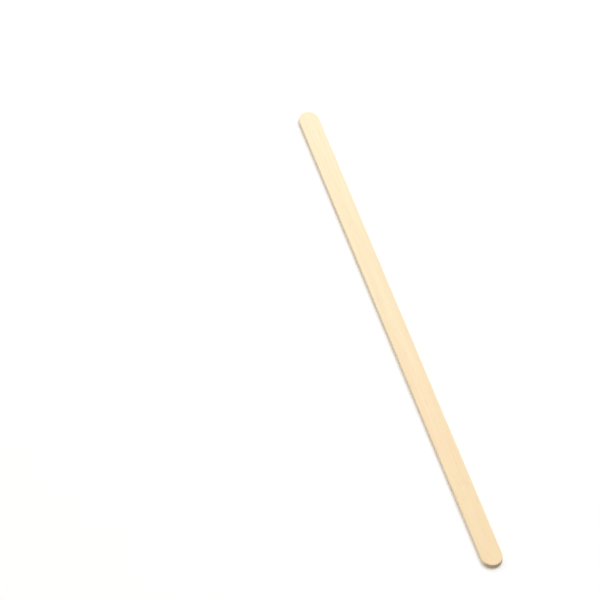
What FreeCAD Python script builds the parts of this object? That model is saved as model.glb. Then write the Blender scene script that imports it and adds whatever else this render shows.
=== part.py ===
import FreeCAD, Part
import math
import os

# Coffee stirrer: a flat, straight stick stamped from birch veneer. Both ends are
# rounded a little longer than a half circle, and tumbling has eased the edges
# where the cut sides meet the two faces.
#
# Row frame, in millimetres: +X runs along the stick, +Y across it and +Z out of
# its upper face. The stick lies flat, and the origin is the middle of its lower
# face.

# Driving dimensions
stick_length = 178.0
stick_width = 6.0
stick_thickness = 1.5
end_length = 3.5  # length of each rounded end, from its straight sides to its tip
edge_radius = 0.25  # rounding along the rims of the upper and lower faces

# The weight at the corner of a conic that makes it a quarter of an ellipse
ELLIPSE_WEIGHT = math.cos(math.radians(45))

# Edges that rise less than this lie in the upper or the lower face
FLAT_TOLERANCE = 1e-6


def point(x, y):
    """Return a point of the outline, in the plane of the lower face."""
    return FreeCAD.Vector(x, y, 0)


def quarter_round(start, corner, finish):
    """Return a quarter of an ellipse from start to finish, inside the corner."""
    curve = Part.BezierCurve()
    curve.setPoles([start, corner, finish])
    curve.setWeight(2, ELLIPSE_WEIGHT)
    return curve.toShape()


def rounded_end(tip_x, shoulder_x, side_y):
    """Return both quarters of one end, from the side at side_y round its tip."""
    tip = point(tip_x, 0)
    first = quarter_round(point(shoulder_x, side_y), point(tip_x, side_y), tip)
    second = quarter_round(tip, point(tip_x, -side_y), point(shoulder_x, -side_y))
    return [first, second]


def stick_outline():
    """Return the closed outline that the die cuts, going round clockwise."""
    tip_x = stick_length / 2
    shoulder_x = tip_x - end_length
    side_y = stick_width / 2
    right_end = rounded_end(tip_x, shoulder_x, side_y)
    front_side = Part.LineSegment(point(shoulder_x, -side_y), point(-shoulder_x, -side_y))
    left_end = rounded_end(-tip_x, -shoulder_x, -side_y)
    back_side = Part.LineSegment(point(-shoulder_x, side_y), point(shoulder_x, side_y))
    return Part.Wire([*right_end, front_side.toShape(), *left_end, back_side.toShape()])


def make_stirrer():
    """Return the stick: the outline's blank with the rims of both faces eased."""
    blank = Part.Face(stick_outline()).extrude(FreeCAD.Vector(0, 0, stick_thickness))
    rims = [edge for edge in blank.Edges if edge.BoundBox.ZLength < FLAT_TOLERANCE]
    return blank.makeFillet(edge_radius, rims)


os.makedirs("parts", exist_ok=True)
stirrer = make_stirrer()
stirrer.exportStep("parts/stirrer.step")
print(f"stirrer: valid {stirrer.isValid()}, solids {len(stirrer.Solids)}, volume {stirrer.Volume:.1f} mm3")
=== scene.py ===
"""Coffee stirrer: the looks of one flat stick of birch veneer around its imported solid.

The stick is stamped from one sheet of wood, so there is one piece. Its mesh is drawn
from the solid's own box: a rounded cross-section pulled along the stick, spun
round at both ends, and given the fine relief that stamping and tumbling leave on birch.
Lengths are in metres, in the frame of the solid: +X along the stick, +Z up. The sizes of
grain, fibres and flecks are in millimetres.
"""

import logging
import math
from dataclasses import dataclass
from enum import Enum
from typing import Callable

import bpy
from mathutils import Matrix, Vector


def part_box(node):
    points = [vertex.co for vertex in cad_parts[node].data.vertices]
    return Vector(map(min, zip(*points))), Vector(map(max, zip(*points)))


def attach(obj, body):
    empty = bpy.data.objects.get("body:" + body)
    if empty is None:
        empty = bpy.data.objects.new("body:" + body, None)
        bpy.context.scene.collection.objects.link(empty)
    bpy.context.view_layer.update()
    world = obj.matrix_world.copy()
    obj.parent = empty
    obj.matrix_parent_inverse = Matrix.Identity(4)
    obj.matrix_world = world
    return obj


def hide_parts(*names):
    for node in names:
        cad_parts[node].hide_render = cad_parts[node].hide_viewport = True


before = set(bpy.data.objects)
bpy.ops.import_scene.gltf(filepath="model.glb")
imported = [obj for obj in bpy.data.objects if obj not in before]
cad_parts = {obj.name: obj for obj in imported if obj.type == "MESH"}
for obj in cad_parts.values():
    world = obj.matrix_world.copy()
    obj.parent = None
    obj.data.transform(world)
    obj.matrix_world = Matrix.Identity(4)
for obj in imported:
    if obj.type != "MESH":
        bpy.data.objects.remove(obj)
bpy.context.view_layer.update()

LOG = logging.getLogger("stirrer")
MM = 0.001
PHOTO_WIDTH_PX = 600
MERGE_DISTANCE = 1e-6
Colour = tuple[float, float, float, float]


class End(Enum):
    """The two rounded ends, as the sign of X on which each one lies."""

    NEAR = 1
    FAR = -1


class Skin(Enum):
    """The mesh's material slots: the veneer's two faces, and what the die cut."""

    FACE = 0
    CUT = 1


class Region(Enum):
    """The vertex groups that a relief can be held to."""

    FACES = "veneer_faces"
    SIDES = "cut_sides"
    ENDS = "cut_ends"


class NodeSheet:
    """A node tree, with short ways to add nodes to it and to join them."""

    def __init__(self, tree: bpy.types.NodeTree) -> None:
        """Start on an empty tree."""
        self.tree = tree
        self.tree.nodes.clear()

    def add(self, kind: str, **settings: object) -> bpy.types.Node:
        """Add a node and set its properties.

        Args:
            kind: The node's type name.
            settings: Properties of the node, by name.

        Returns:
            The new node.
        """
        node = self.tree.nodes.new(kind)
        for name, value in settings.items():
            setattr(node, name, value)
        return node

    def feed(self, target: bpy.types.NodeSocket, source: object) -> None:
        """Give an input socket what it reads.

        Args:
            target: The input socket.
            source: A socket to link it to, or else the value to set on it.
        """
        if isinstance(source, bpy.types.NodeSocket):
            self.tree.links.new(source, target)
        else:
            target.default_value = source

    def math(self, operation: str, *values: object, clamp: bool = False) -> bpy.types.NodeSocket:
        """Add a Math node.

        Args:
            operation: What the node does.
            values: A value or a socket for each of its inputs, in order.
            clamp: Whether the result is held between 0 and 1.

        Returns:
            The result.
        """
        node = self.add("ShaderNodeMath", operation=operation, use_clamp=clamp)
        for socket, value in zip(node.inputs, values):
            self.feed(socket, value)
        return node.outputs[0]

    def between(self, amount: object, low: float, high: float) -> bpy.types.NodeSocket:
        """Return the value that lies amount of the way from low to high."""
        return self.math("MULTIPLY_ADD", amount, high - low, low)

    def ramp(self, value: object, low: object, high: object) -> bpy.types.NodeSocket:
        """Add a smooth rise from 0 to 1.

        Args:
            value: What the rise follows.
            low: Where the rise starts.
            high: Where it is complete, which may be less than low.

        Returns:
            The rise, from 0 to 1.
        """
        node = self.add("ShaderNodeMapRange", interpolation_type="SMOOTHSTEP")
        for name, source in (("Value", value), ("From Min", low), ("From Max", high)):
            self.feed(node.inputs[name], source)
        return node.outputs["Result"]

    def blend(self, amount: object, first: object, second: object) -> bpy.types.NodeSocket:
        """Mix two colours.

        Args:
            amount: How far the mix is on its way to the second colour, from 0 to 1.
            first: The colour at 0.
            second: The colour at 1.

        Returns:
            The mixed colour.
        """
        node = self.add("ShaderNodeMix", data_type="RGBA")
        colours = [socket for socket in node.inputs if socket.type == "RGBA"]
        self.feed(node.inputs["Factor"], amount)
        self.feed(colours[0], first)
        self.feed(colours[1], second)
        return next(socket for socket in node.outputs if socket.type == "RGBA")

    def stretched(self, vector: object, *sizes: object) -> bpy.types.NodeSocket:
        """Measure a place in grains instead of millimetres.

        Args:
            vector: The place, in millimetres.
            sizes: How long a grain is along X, Y and Z, in millimetres.

        Returns:
            The place, with each axis divided by the grain's size along it.
        """
        grain = self.add("ShaderNodeCombineXYZ")
        for axis, size in zip(grain.inputs, sizes):
            self.feed(axis, size)
        divided = self.add("ShaderNodeVectorMath", operation="DIVIDE")
        self.feed(divided.inputs[0], vector)
        self.feed(divided.inputs[1], grain.outputs[0])
        return divided.outputs[0]

    def axes(self, vector: object) -> bpy.types.NodeOutputs:
        """Split a vector into its parts.

        Args:
            vector: The vector to split.

        Returns:
            Its X, Y and Z, by name.
        """
        parts = self.add("ShaderNodeSeparateXYZ")
        self.feed(parts.inputs[0], vector)
        return parts.outputs

    def noise(self, vector: object, detail: float, roughness: float) -> bpy.types.NodeSocket:
        """Add a noise of unit size.

        Args:
            vector: Where the noise is read.
            detail: How many finer layers it has.
            roughness: How strong each finer layer is, beside the one before it.

        Returns:
            The noise, from 0 to 1.
        """
        node = self.add("ShaderNodeTexNoise")
        self.feed(node.inputs["Vector"], vector)
        self.feed(node.inputs["Scale"], 1.0)
        self.feed(node.inputs["Detail"], detail)
        self.feed(node.inputs["Roughness"], roughness)
        return node.outputs["Fac"]


@dataclass(frozen=True)
class EffectGroup:
    """A shader node group that several finishes share, built the first time it is used.

    Inputs holds each input's type and starting value by its name, and outputs holds each
    output's type. Fill draws the nodes that lie between them.
    """

    name: str
    inputs: dict[str, tuple[str, object]]
    outputs: dict[str, str]
    fill: Callable[[NodeSheet, bpy.types.Node, bpy.types.Node], None]

    def tree(self) -> bpy.types.NodeTree:
        """Build the group on the first call.

        Returns:
            The group's node tree.
        """
        made = bpy.data.node_groups.get(self.name)
        if made is not None:
            return made
        tree = bpy.data.node_groups.new(self.name, "ShaderNodeTree")
        for name, (kind, value) in self.inputs.items():
            socket = tree.interface.new_socket(name, in_out="INPUT", socket_type=kind)
            if value is not None:
                socket.default_value = value
        for name, kind in self.outputs.items():
            tree.interface.new_socket(name, in_out="OUTPUT", socket_type=kind)
        sheet = NodeSheet(tree)
        self.fill(sheet, sheet.add("NodeGroupInput"), sheet.add("NodeGroupOutput"))
        return tree

    def place(self, sheet: NodeSheet, **values: object) -> bpy.types.NodeOutputs:
        """Put the group in a material.

        Args:
            sheet: The material's nodes.
            values: A value or a socket for each of the group's inputs, by name.

        Returns:
            The group node's outputs, by name.
        """
        node = sheet.add("ShaderNodeGroup", node_tree=self.tree())
        for name, source in values.items():
            sheet.feed(node.inputs[name], source)
        return node.outputs


FLOAT = "NodeSocketFloat"
VECTOR = "NodeSocketVector"


@dataclass(frozen=True)
class Grain:
    """A soft unevenness of wood or paper: its size along X, Y and Z, and how it is spread.

    What lies under low counts as 0, and what lies over high as 1.
    """

    size: tuple[float, float, float]
    detail: float = 2.0
    roughness: float = 0.5
    low: float = 0.3
    high: float = 0.7

    def plain(self, sheet: NodeSheet, point: bpy.types.NodeSocket) -> bpy.types.NodeSocket:
        """Return the grain at a point, as it comes."""
        return sheet.noise(sheet.stretched(point, *self.size), self.detail, self.roughness)

    def spread(self, sheet: NodeSheet, point: bpy.types.NodeSocket) -> bpy.types.NodeSocket:
        """Return the grain at a point, spread out from 0 to 1."""
        return sheet.ramp(self.plain(sheet, point), self.low, self.high)


FIBRE_WANDER = Grain((45.0, 6.0, 6.0), detail=1.0)
WANDER_MIDDLE = 0.5
FIBRE_DETAIL = 3.0
FIBRE_ROUGHNESS = 0.55
FIBRE_LOW = 0.3
FIBRE_HIGH = 0.7


def fill_fibres(sheet: NodeSheet, given: bpy.types.Node, result: bpy.types.Node) -> None:
    """Draw long wood fibres that lie along X and waver a little to each side.

    Args:
        sheet: The group's nodes.
        given: The group's input node.
        result: The group's output node.
    """
    point, width = given.outputs["Vector"], given.outputs["Width"]
    wander = sheet.math("SUBTRACT", FIBRE_WANDER.plain(sheet, point), WANDER_MIDDLE)
    shift = sheet.add("ShaderNodeCombineXYZ")
    sheet.feed(shift.inputs["Y"], sheet.math("MULTIPLY", wander, given.outputs["Waviness"]))
    moved = sheet.add("ShaderNodeVectorMath", operation="ADD")
    sheet.feed(moved.inputs[0], point)
    sheet.feed(moved.inputs[1], shift.outputs[0])
    along = sheet.stretched(moved.outputs[0], given.outputs["Length"], width, width)
    fibres = sheet.noise(along, FIBRE_DETAIL, FIBRE_ROUGHNESS)
    sheet.feed(result.inputs["Tone"], sheet.ramp(fibres, FIBRE_LOW, FIBRE_HIGH))


FIBRE_GROUP = EffectGroup(
    "wood_fibres",
    {
        "Vector": (VECTOR, None),
        "Length": (FLOAT, 10.0),
        "Width": (FLOAT, 0.2),
        "Waviness": (FLOAT, 0.4),
    },
    {"Tone": FLOAT},
    fill_fibres,
)

FLECK_SHADING = 0.6
FAINTEST_FLECK = 0.4


def fill_flecks(sheet: NodeSheet, given: bpy.types.Node, result: bpy.types.Node) -> None:
    """Scatter lens-shaped marks that lie along X, such as open pores and pith flecks.

    Each mark shades off over part of its half width, and some are fainter than others.

    Args:
        sheet: The group's nodes.
        given: The group's input node.
        result: The group's output node.
    """
    width, fill = given.outputs["Width"], given.outputs["Fill"]
    cells = sheet.add("ShaderNodeTexVoronoi")
    place = sheet.stretched(given.outputs["Vector"], given.outputs["Length"], width, width)
    sheet.feed(cells.inputs["Vector"], place)
    sheet.feed(cells.inputs["Scale"], 1.0)
    inside = sheet.math("SUBTRACT", fill, cells.outputs["Distance"])
    lens = sheet.ramp(sheet.math("DIVIDE", inside, fill), 0.0, FLECK_SHADING)
    draw = sheet.add("ShaderNodeSeparateColor")
    sheet.feed(draw.inputs[0], cells.outputs["Color"])
    kept = sheet.math("LESS_THAN", draw.outputs["Red"], given.outputs["Share"])
    depth = sheet.between(draw.outputs["Green"], FAINTEST_FLECK, 1.0)
    mask = sheet.math("MULTIPLY", sheet.math("MULTIPLY", lens, kept), depth)
    sheet.feed(result.inputs["Mask"], mask)


FLECK_GROUP = EffectGroup(
    "wood_flecks",
    {
        "Vector": (VECTOR, None),
        "Length": (FLOAT, 3.0),
        "Width": (FLOAT, 0.35),
        "Fill": (FLOAT, 0.2),
        "Share": (FLOAT, 0.5),
    },
    {"Mask": FLOAT},
    fill_flecks,
)


def fill_rim(sheet: NodeSheet, given: bpy.types.Node, result: bpy.types.Node) -> None:
    """Find the rims, for their tumbled wear and painted light, by how squarely the surface faces up or
    down.

    Args:
        sheet: The group's nodes.
        given: The group's input node.
        result: The group's output node.
    """
    facing = sheet.axes(sheet.add("ShaderNodeTexCoord").outputs["Normal"])
    level = sheet.math("ABSOLUTE", facing["Z"])
    mask = sheet.ramp(level, given.outputs["Start"], given.outputs["Full"])
    sheet.feed(result.inputs["Mask"], mask)


RIM_GROUP = EffectGroup(
    "rim_wear_and_painted_light",
    {"Start": (FLOAT, 0.98), "Full": (FLOAT, 0.7)},
    {"Mask": FLOAT},
    fill_rim,
)


@dataclass(frozen=True)
class Mark:
    """Something that shows on the wood: the colour that it lends, and how strongly."""

    colour: Colour
    strength: float

    def over(self, sheet: NodeSheet, wood: object, mask: object) -> bpy.types.NodeSocket:
        """Return the wood's colour with this mark laid over it, where its mask shows."""
        return sheet.blend(sheet.math("MULTIPLY", mask, self.strength), wood, self.colour)


@dataclass(frozen=True)
class Fibres(Mark):
    """Fibres of one size, which lie along the stick."""

    length: float
    width: float
    waviness: float

    def tone(self, sheet: NodeSheet, point: bpy.types.NodeSocket) -> bpy.types.NodeSocket:
        """Return the fibres' tone at a point, from 0 to 1."""
        sizes = {"Length": self.length, "Width": self.width, "Waviness": self.waviness}
        return FIBRE_GROUP.place(sheet, Vector=point, **sizes)["Tone"]


@dataclass(frozen=True)
class Flecks(Mark):
    """Lens-shaped marks of one size: how much of its cell each fills, and what share are there."""

    length: float
    width: float
    fill: float
    share: float

    def mask(self, sheet: NodeSheet, point: bpy.types.NodeSocket) -> bpy.types.NodeSocket:
        """Return the flecks' strength at a point, from 0 to 1."""
        sizes = {"Length": self.length, "Width": self.width, "Fill": self.fill, "Share": self.share}
        return FLECK_GROUP.place(sheet, Vector=point, **sizes)["Mask"]


@dataclass(frozen=True)
class RimWearAndLight(Mark):
    """The rims' polish and painted light: how squarely the surface faces up where it starts and where it
    is full.
    """

    start: float
    full: float

    def mask(self, sheet: NodeSheet) -> bpy.types.NodeSocket:
        """Return how strongly the rims' polish and painted light show, from 0 to 1."""
        return RIM_GROUP.place(sheet, Start=self.start, Full=self.full)["Mask"]


def new_material(name: str) -> tuple[bpy.types.Material, NodeSheet]:
    """Start a material.

    Args:
        name: The material's name.

    Returns:
        The material, and its empty sheet of nodes.
    """
    made = bpy.data.materials.new(name)
    made.use_nodes = True
    return made, NodeSheet(made.node_tree)


def point_in_mm(sheet: NodeSheet) -> bpy.types.NodeSocket:
    """Find the point that is being shaded.

    Args:
        sheet: The material's nodes.

    Returns:
        Its place on its own object, in millimetres.
    """
    coordinates = sheet.add("ShaderNodeTexCoord")
    mapping = sheet.add("ShaderNodeMapping", vector_type="POINT")
    sheet.feed(mapping.inputs["Scale"], Vector((1.0, 1.0, 1.0)) / MM)
    sheet.feed(mapping.inputs["Vector"], coordinates.outputs["Object"])
    return mapping.outputs[0]


def finish_shader(
    sheet: NodeSheet, colour: object, roughness: object, height: object, relief: float
) -> None:
    """End a material: the shader, its bump and the output.

    Args:
        sheet: The material's nodes.
        colour: Base colour.
        roughness: Roughness over the surface.
        height: Height over the surface, as a share of the relief.
        relief: How tall a height of 1 stands, in metres.
    """
    bump = sheet.add("ShaderNodeBump")
    sheet.feed(bump.inputs["Height"], height)
    sheet.feed(bump.inputs["Distance"], relief)
    shader = sheet.add("ShaderNodeBsdfPrincipled")
    sheet.feed(shader.inputs["Base Color"], colour)
    sheet.feed(shader.inputs["Roughness"], roughness)
    sheet.feed(shader.inputs["Normal"], bump.outputs[0])
    output = sheet.add("ShaderNodeOutputMaterial")
    sheet.feed(output.inputs["Surface"], shader.outputs[0])


@dataclass(frozen=True)
class VeneerFace:
    """The sliced faces of pale birch: cream, nearly plain, with the finest of grain.

    The colour drifts evenly from cream at the near end to pale at the far one: painted light, for the
    brighter light that falls on the far end.
    """

    name: str = "birch_face"
    cream: Colour = (0.80, 0.635, 0.395, 1.0)
    rosy: Colour = (0.82, 0.615, 0.39, 1.0)
    mottle: Grain = Grain((14.0, 3.5, 3.5), low=0.35, high=0.65)
    # Painted light: the paler, cooler colour that the far end is drawn in, for the brighter light there.
    pale: Colour = (0.885, 0.805, 0.575, 1.0)
    painted_light_length: float = 180.0
    painted_light_at_middle: float = 0.5
    streaks: Fibres = Fibres((0.74, 0.56, 0.335, 1.0), 0.30, length=70.0, width=0.9, waviness=1.2)
    fibres: Fibres = Fibres((0.66, 0.48, 0.27, 1.0), 0.16, length=12.0, width=0.12, waviness=0.5)
    pores: Flecks = Flecks((0.50, 0.33, 0.17, 1.0), 0.35, length=7.0, width=0.32, fill=0.2, share=0.6)
    pith: Flecks = Flecks((0.33, 0.19, 0.09, 1.0), 0.4, length=11.0, width=1.5, fill=0.11, share=0.03)
    # Partly tumbled wear, partly a painted highlight: the face's rounded rims are drawn paler than the
    # face.
    rims: RimWearAndLight = RimWearAndLight((0.85, 0.71, 0.49, 1.0), 0.6, start=0.985, full=0.72)
    smoothest: float = 0.52
    roughest: float = 0.64
    fibre_height: float = 0.5
    relief: float = 0.03 * MM

    def material(self) -> bpy.types.Material:
        """Draw the finish's nodes.

        Returns:
            The new material.
        """
        made, sheet = new_material(self.name)
        point = point_in_mm(sheet)
        fibres = self.fibres.tone(sheet, point)
        pores = self.pores.mask(sheet, point)
        # Painted light: the face grows paler towards the far end (-X), as if lit more brightly there.
        slope = -1.0 / self.painted_light_length
        far_end_painted_light = sheet.math("MULTIPLY_ADD", sheet.axes(point)["X"], slope, self.painted_light_at_middle, clamp=True)
        wood = sheet.blend(self.mottle.spread(sheet, point), self.cream, self.rosy)
        wood = sheet.blend(far_end_painted_light, wood, self.pale)
        wood = self.streaks.over(sheet, wood, self.streaks.tone(sheet, point))
        wood = self.fibres.over(sheet, wood, fibres)
        wood = self.pores.over(sheet, wood, pores)
        wood = self.pith.over(sheet, wood, self.pith.mask(sheet, point))
        # Partly tumbled wear, partly a painted highlight along the rounded rims.
        wood = self.rims.over(sheet, wood, self.rims.mask(sheet))
        roughness = sheet.between(fibres, self.smoothest, self.roughest)
        height = sheet.math("SUBTRACT", sheet.math("MULTIPLY", fibres, self.fibre_height), pores)
        finish_shader(sheet, wood, roughness, height, self.relief)
        return made


@dataclass(frozen=True)
class CutEdge:
    """What the die cut: long fibres in layers down the sides, end grain round the ends.

    End grain comes in as the wall turns to face along the stick.
    """

    name: str = "birch_cut_edge"
    # Painted light: the cut sides are drawn paler than the face wood, for the light that reaches them.
    side: Colour = (0.88, 0.735, 0.53, 1.0)
    layers: Fibres = Fibres((0.73, 0.57, 0.38, 1.0), 0.6, length=6.0, width=0.11, waviness=0.3)
    end_light: Colour = (0.68, 0.54, 0.36, 1.0)
    end_dark: Colour = (0.42, 0.31, 0.195, 1.0)
    rays: Grain = Grain((1.5, 0.08, 0.9))
    rings: Grain = Grain((5.0, 3.0, 0.2), detail=1.0)
    ring_share: float = 0.4
    end_turn_start: float = 0.2
    end_turn_full: float = 0.75
    pores: Flecks = Flecks((0.42, 0.31, 0.195, 1.0), 0.4, length=2.6, width=0.12, fill=0.22, share=0.45)
    # Partly the face wood carried round the rims, partly painted light: where the cut walls turn towards
    # the faces they take a pale face colour, lightening the rims along the top and bottom of each cut
    # wall.
    rims: RimWearAndLight = RimWearAndLight((0.86, 0.72, 0.50, 1.0), 0.9, start=0.06, full=0.66)
    smoothest: float = 0.68
    roughest: float = 0.83
    relief: float = 0.05 * MM

    def material(self) -> bpy.types.Material:
        """Draw the finish's nodes.

        Returns:
            The new material.
        """
        made, sheet = new_material(self.name)
        point = point_in_mm(sheet)
        layers = self.layers.tone(sheet, point)
        pores = self.pores.mask(sheet, point)
        rays = sheet.math("MULTIPLY", self.rays.spread(sheet, point), 1.0 - self.ring_share)
        end_tone = sheet.math("MULTIPLY_ADD", self.rings.spread(sheet, point), self.ring_share, rays)
        facing = sheet.axes(sheet.add("ShaderNodeTexCoord").outputs["Normal"])
        turn = sheet.ramp(sheet.math("ABSOLUTE", facing["X"]), self.end_turn_start, self.end_turn_full)
        # Painted light: the sides' paler colour, with the real layered fibres over it.
        sides = self.layers.over(sheet, self.side, layers)
        ends = sheet.blend(end_tone, self.end_light, self.end_dark)
        wood = sheet.blend(turn, sides, ends)
        wood = self.pores.over(sheet, wood, pores)
        # Partly face wood, partly painted light on the rims of the cut walls.
        wood = self.rims.over(sheet, wood, self.rims.mask(sheet))
        roughness = sheet.between(layers, self.smoothest, self.roughest)
        height = sheet.math("SUBTRACT", sheet.math("ADD", layers, end_tone), pores)
        finish_shader(sheet, wood, roughness, height, self.relief)
        return made


@dataclass(frozen=True)
class Relief:
    """One layer of unevenness, pressed into a region of the mesh along its normals."""

    name: str
    region: Region
    depth_mm: float
    grain_mm: tuple[float, float, float]
    octaves: int = 2
    contrast: float = 1.2

    def press_into(self, piece: bpy.types.Object) -> None:
        """Displace the region inwards by a noise of this grain, and apply it.

        Args:
            piece: The mesh, which is the active object.
        """
        texture = bpy.data.textures.new(self.name, type="CLOUDS")
        texture.noise_scale = 1.0
        texture.noise_depth = self.octaves
        texture.contrast = self.contrast
        stretch = bpy.data.objects.new(self.name + "_stretch", None)
        stretch.scale = Vector(self.grain_mm) * MM
        bpy.context.scene.collection.objects.link(stretch)
        bpy.context.view_layer.update()
        displace = piece.modifiers.new(self.name, "DISPLACE")
        displace.texture = texture
        displace.texture_coords = "OBJECT"
        displace.texture_coords_object = stretch
        displace.vertex_group = self.region.value
        displace.mid_level = 1.0
        displace.strength = self.depth_mm * MM
        bpy.ops.object.modifier_apply(modifier=displace.name)
        bpy.data.objects.remove(stretch)
        bpy.data.textures.remove(texture)


@dataclass
class Stick:
    """The stirrer itself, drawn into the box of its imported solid.

    The steps and strips say how many facets each stretch of the mesh has. Its length is
    divided twice, because one subdivision makes 100 cuts at most.
    """

    low: Vector
    high: Vector
    name: str = "birch_stick"
    end_length: float = 3.5 * MM
    rim_radius: float = 0.25 * MM
    rim_steps: int = 4
    face_strips: int = 56
    side_strips: int = 9
    length_parts: tuple[int, int] = (21, 22)
    end_steps: int = 90
    smooth_deg: float = 40.0
    face_level: float = 0.7
    reliefs: tuple[Relief, ...] = (
        Relief("slow_waver", Region.FACES, 0.020, (24, 4, 4)),
        Relief("raised_fibres", Region.FACES, 0.014, (10, 0.35, 0.35)),
        Relief("cut_waver", Region.SIDES, 0.035, (14, 2, 2)),
        Relief("torn_layers", Region.SIDES, 0.022, (4, 0.22, 0.22)),
        Relief("sheared_ends", Region.ENDS, 0.045, (0.8, 0.25, 1.2), octaves=3),
    )

    @property
    def half_width(self) -> float:
        """Half of the stick's width."""
        return (self.high.y - self.low.y) / 2

    @property
    def thickness(self) -> float:
        """The height of the stick's upper face over its lower one."""
        return self.high.z - self.low.z

    @property
    def shoulder(self) -> float:
        """How far along X the straight sides reach from the middle."""
        return self.high.x - self.end_length

    def build(self) -> bpy.types.Object:
        """Model the stick.

        Returns:
            The finished mesh, with no materials yet.
        """
        bpy.ops.object.select_all(action="DESELECT")
        self._draw_section()
        self._pull_along()
        for end in End:
            self._spin_end(end)
        bpy.ops.mesh.select_all(action="SELECT")
        bpy.ops.mesh.remove_doubles(threshold=MERGE_DISTANCE)
        bpy.ops.mesh.normals_make_consistent(inside=False)
        for end in End:
            self._lengthen_end(end)
        bpy.ops.object.mode_set(mode="OBJECT")
        piece = bpy.context.object
        piece.name = piece.data.name = self.name
        self._weigh_regions(piece)
        self._sort_skins(piece)
        for relief in self.reliefs:
            relief.press_into(piece)
        bpy.ops.object.shade_smooth_by_angle(angle=math.radians(self.smooth_deg))
        return piece

    def _draw_section(self) -> None:
        """Draw the outline of the cross-section, rounded at its corners, at the far shoulder."""
        middle = Vector((-self.shoulder, 0.0, (self.low.z + self.high.z) / 2))
        bpy.ops.mesh.primitive_plane_add(size=1, location=middle, rotation=(0, math.radians(90), 0))
        bpy.ops.object.transform_apply(location=True, rotation=True, scale=True)
        bpy.ops.object.mode_set(mode="EDIT")
        bpy.ops.mesh.select_all(action="SELECT")
        bpy.ops.transform.resize(value=(1, 2 * self.half_width, self.thickness), center_override=middle)
        bpy.ops.mesh.bevel(offset=self.rim_radius, segments=self.rim_steps, affect="VERTICES")
        bpy.ops.mesh.delete(type="ONLY_FACE")
        flat = self.half_width - self.rim_radius
        tall = self.thickness / 2 - self.rim_radius
        self._select_edges(lambda a, b: abs(a.y + b.y) < flat and abs(a.y - b.y) > flat)
        bpy.ops.mesh.subdivide(number_cuts=self.face_strips - 1)
        self._select_edges(lambda a, b: abs(a.z - b.z) > tall)
        bpy.ops.mesh.subdivide(number_cuts=self.side_strips - 1)

    def _pull_along(self) -> None:
        """Pull the section from the far shoulder to the near one, in even steps."""
        run = 2 * self.shoulder
        bpy.ops.mesh.select_all(action="SELECT")
        bpy.ops.mesh.extrude_edges_move(TRANSFORM_OT_translate={"value": (run, 0, 0)})
        for parts in self.length_parts:
            self._select_edges(lambda a, b: abs(a.x - b.x) > self.rim_radius)
            bpy.ops.mesh.subdivide(number_cuts=parts - 1)

    def _spin_end(self, end: End) -> None:
        """Spin half of the section round the middle of a shoulder, to make a half-round end.

        The half with positive Y is spun. Seen from above, a positive angle turns it
        clockwise, which carries it round the near end.

        Args:
            end: Which end to make.
        """
        shoulder_x = end.value * self.shoulder
        self._select_vertices(
            lambda co: abs(co.x - shoulder_x) < MERGE_DISTANCE and co.y > -MERGE_DISTANCE
        )
        bpy.ops.mesh.spin(
            steps=self.end_steps,
            angle=end.value * math.pi,
            center=(shoulder_x, 0, 0),
            axis=(0, 0, 1),
        )

    def _lengthen_end(self, end: End) -> None:
        """Stretch a half-round end along X to its true length.

        Args:
            end: Which end to stretch.
        """
        shoulder_x = end.value * self.shoulder
        self._select_vertices(lambda co: end.value * co.x > self.shoulder + MERGE_DISTANCE)
        bpy.ops.transform.resize(
            value=(self.end_length / self.half_width, 1, 1), center_override=(shoulder_x, 0, 0)
        )

    @staticmethod
    def _select_vertices(wanted: Callable[[Vector], bool]) -> None:
        """Select some vertices and nothing else, and stay in edit mode.

        Args:
            wanted: Says of a vertex's place whether it is selected.
        """
        bpy.ops.mesh.select_mode(type="VERT")
        bpy.ops.mesh.select_all(action="DESELECT")
        bpy.ops.object.mode_set(mode="OBJECT")
        for vertex in bpy.context.object.data.vertices:
            vertex.select = wanted(vertex.co)
        bpy.ops.object.mode_set(mode="EDIT")

    @staticmethod
    def _select_edges(wanted: Callable[[Vector, Vector], bool]) -> None:
        """Select some edges and nothing else, and stay in edit mode.

        Args:
            wanted: Says of the places of an edge's two ends whether it is selected.
        """
        bpy.ops.mesh.select_mode(type="EDGE")
        bpy.ops.mesh.select_all(action="DESELECT")
        bpy.ops.object.mode_set(mode="OBJECT")
        mesh = bpy.context.object.data
        for edge in mesh.edges:
            first, second = (mesh.vertices[index].co for index in edge.vertices)
            edge.select = wanted(first, second)
        bpy.ops.object.mode_set(mode="EDIT")

    @staticmethod
    def _weigh_regions(piece: bpy.types.Object) -> None:
        """Weigh each vertex in the regions by the way it faces.

        The squares of a normal's parts add up to 1, so over a rim one region's weight
        fades out as the next one's comes in.

        Args:
            piece: The stick's mesh.
        """
        groups = {region: piece.vertex_groups.new(name=region.value) for region in Region}
        for vertex in piece.data.vertices:
            weights = {
                Region.FACES: vertex.normal.z**2,
                Region.SIDES: 1.0 - vertex.normal.z**2,
                Region.ENDS: vertex.normal.x**2,
            }
            for region, weight in weights.items():
                groups[region].add([vertex.index], weight, "REPLACE")

    def _sort_skins(self, piece: bpy.types.Object) -> None:
        """Give each polygon its skin, by how squarely it faces up or down.

        Args:
            piece: The stick's mesh.
        """
        for polygon in piece.data.polygons:
            skin = Skin.FACE if abs(polygon.normal.z) > self.face_level else Skin.CUT
            polygon.material_index = skin.value

    @staticmethod
    def dress(piece: bpy.types.Object, finishes: dict[Skin, bpy.types.Material]) -> None:
        """Give the mesh its materials, in the order of the skins."""
        for skin in Skin:
            piece.data.materials.append(finishes[skin])


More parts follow.
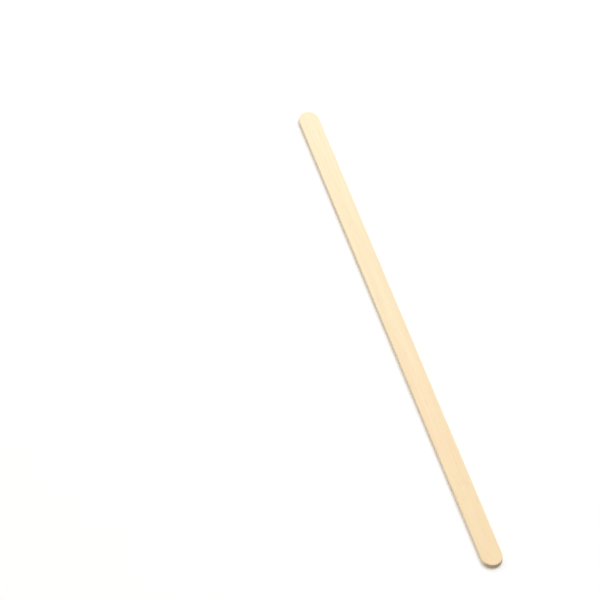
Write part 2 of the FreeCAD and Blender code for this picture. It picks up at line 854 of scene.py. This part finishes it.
@dataclass(frozen=True)
class PaperFloor:
    """The plain pale sheet that the stick lies on."""

    name: str = "paper_floor"
    size: float = 6.0
    colour: Colour = (0.875, 0.88, 0.89, 1.0)
    tooth: Grain = Grain((0.8, 0.8, 0.8), roughness=0.6)
    smoothest: float = 0.8
    roughest: float = 0.9
    relief: float = 0.01 * MM

    def material(self) -> bpy.types.Material:
        """Draw the paper's nodes.

        Returns:
            The new material.
        """
        made, sheet = new_material("white_paper")
        tooth = self.tooth.plain(sheet, point_in_mm(sheet))
        roughness = sheet.between(tooth, self.smoothest, self.roughest)
        finish_shader(sheet, self.colour, roughness, tooth, self.relief)
        return made

    def build(self) -> bpy.types.Object:
        """Lay the floor at the height of the stick's lower face.

        Returns:
            The floor, in its material.
        """
        bpy.ops.object.select_all(action="DESELECT")
        bpy.ops.mesh.primitive_plane_add(size=self.size, location=(0, 0, 0))
        floor = bpy.context.object
        floor.name = self.name
        floor.data.materials.append(self.material())
        return floor


@dataclass(frozen=True)
class Softbox:
    """One soft studio light, aimed at the middle of the stick."""

    name: str
    place: Vector
    width: float
    watts: float
    colour: tuple[float, float, float]

    def build(self) -> bpy.types.Object:
        """Hang the light in its place.

        Returns:
            The light.
        """
        data = bpy.data.lights.new(self.name, type="AREA")
        data.shape = "SQUARE"
        data.size = self.width
        data.energy = self.watts
        data.color = self.colour
        lamp = bpy.data.objects.new(self.name, data)
        lamp.location = self.place
        lamp.rotation_euler = (-self.place).to_track_quat("-Z", "Y").to_euler()
        bpy.context.scene.collection.objects.link(lamp)
        return lamp


@dataclass(frozen=True)
class Studio:
    """The light of the picture: one large softbox over the stick and a pale room.

    The room is brighter to the left of the picture and dimmer behind the camera, and
    what the camera sees of it past the floor is plain white.
    """

    key: Softbox = Softbox("key_softbox", Vector((-0.30, 0.52, 1.65)), 1.6, 26.5, (0.98, 0.99, 1.0))
    room_colour: Colour = (1.0, 0.96, 0.91, 1.0)
    room_light: float = 0.56
    left_lift: float = 0.55
    front_drop: float = 0.5
    least_share: float = 0.1
    backdrop_colour: Colour = (1.0, 1.0, 1.0, 1.0)
    backdrop_light: float = 1.0

    def build(self) -> None:
        """Place the light and set the world and the way colours are shown."""
        self.key.build()
        world = bpy.data.worlds.new("pale_room")
        world.use_nodes = True
        sheet = NodeSheet(world.node_tree)
        seen = sheet.add("ShaderNodeLightPath").outputs["Is Camera Ray"]
        towards = sheet.axes(sheet.add("ShaderNodeTexCoord").outputs["Generated"])
        share = sheet.math("MULTIPLY_ADD", towards["Y"], -self.left_lift, 1.0)
        share = sheet.math("MULTIPLY_ADD", towards["X"], -self.front_drop, share)
        share = sheet.math("MAXIMUM", share, self.least_share)
        room = sheet.math("MULTIPLY", share, self.room_light)
        missing = sheet.math("SUBTRACT", self.backdrop_light, room)
        background = sheet.add("ShaderNodeBackground")
        colour = sheet.blend(seen, self.room_colour, self.backdrop_colour)
        sheet.feed(background.inputs["Color"], colour)
        sheet.feed(background.inputs["Strength"], sheet.math("MULTIPLY_ADD", seen, missing, room))
        output = sheet.add("ShaderNodeOutputWorld")
        sheet.feed(output.inputs["Surface"], background.outputs[0])
        bpy.context.scene.world = world
        bpy.context.scene.view_settings.view_transform = "Standard"


@dataclass(frozen=True)
class PhotoCamera:
    """The camera of the photograph, found from the stick's outline in its 600 pixels.

    At azimuth 0 it would look along +Y, with +X to the right.
    """

    name: str = "photo_camera"
    azimuth_deg: float = 72.3
    elevation_deg: float = 47.9
    roll_deg: float = 1.5
    distance: float = 1.121
    focal_px: float = 3930.0
    aim: Vector = Vector((-0.0184, -0.0228, 0.0))
    sensor_mm: float = 36.0
    nearest: float = 0.01
    farthest: float = 20.0

    def build(self) -> bpy.types.Object:
        """Set up the camera in its place and make it the scene's own.

        Returns:
            The camera.
        """
        around = math.radians(self.azimuth_deg)
        above = math.radians(self.elevation_deg)
        back = Vector(
            (
                math.sin(around) * math.cos(above),
                -math.cos(around) * math.cos(above),
                math.sin(above),
            )
        )
        right = Vector((math.cos(around), math.sin(around), 0.0))
        axes = Matrix((right, back.cross(right), back)).transposed().to_4x4()
        roll = Matrix.Rotation(math.radians(self.roll_deg), 4, "Z")
        data = bpy.data.cameras.new(self.name)
        data.sensor_width = self.sensor_mm
        data.lens = self.focal_px * self.sensor_mm / PHOTO_WIDTH_PX
        data.clip_start = self.nearest
        data.clip_end = self.farthest
        camera = bpy.data.objects.new(self.name, data)
        camera.matrix_world = Matrix.Translation(self.aim + back * self.distance) @ axes @ roll
        bpy.context.scene.collection.objects.link(camera)
        bpy.context.scene.camera = camera
        return camera


def main() -> None:
    """Build the stick, its stage and its camera, and tie the stick to the frame."""
    logging.basicConfig(level=logging.INFO, format="%(name)s: %(message)s")
    low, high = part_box("stirrer")
    stick = Stick(low, high)
    piece = stick.build()
    stick.dress(piece, {Skin.FACE: VeneerFace().material(), Skin.CUT: CutEdge().material()})
    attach(piece, "root")
    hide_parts("stirrer")
    LOG.info("%s: %d polygons", piece.name, len(piece.data.polygons))
    floor = PaperFloor().build()
    LOG.info("%s: staged", floor.name)
    Studio().build()
    camera = PhotoCamera().build()
    LOG.info("%s: in place", camera.name)


if __name__ == "__main__":
    main()
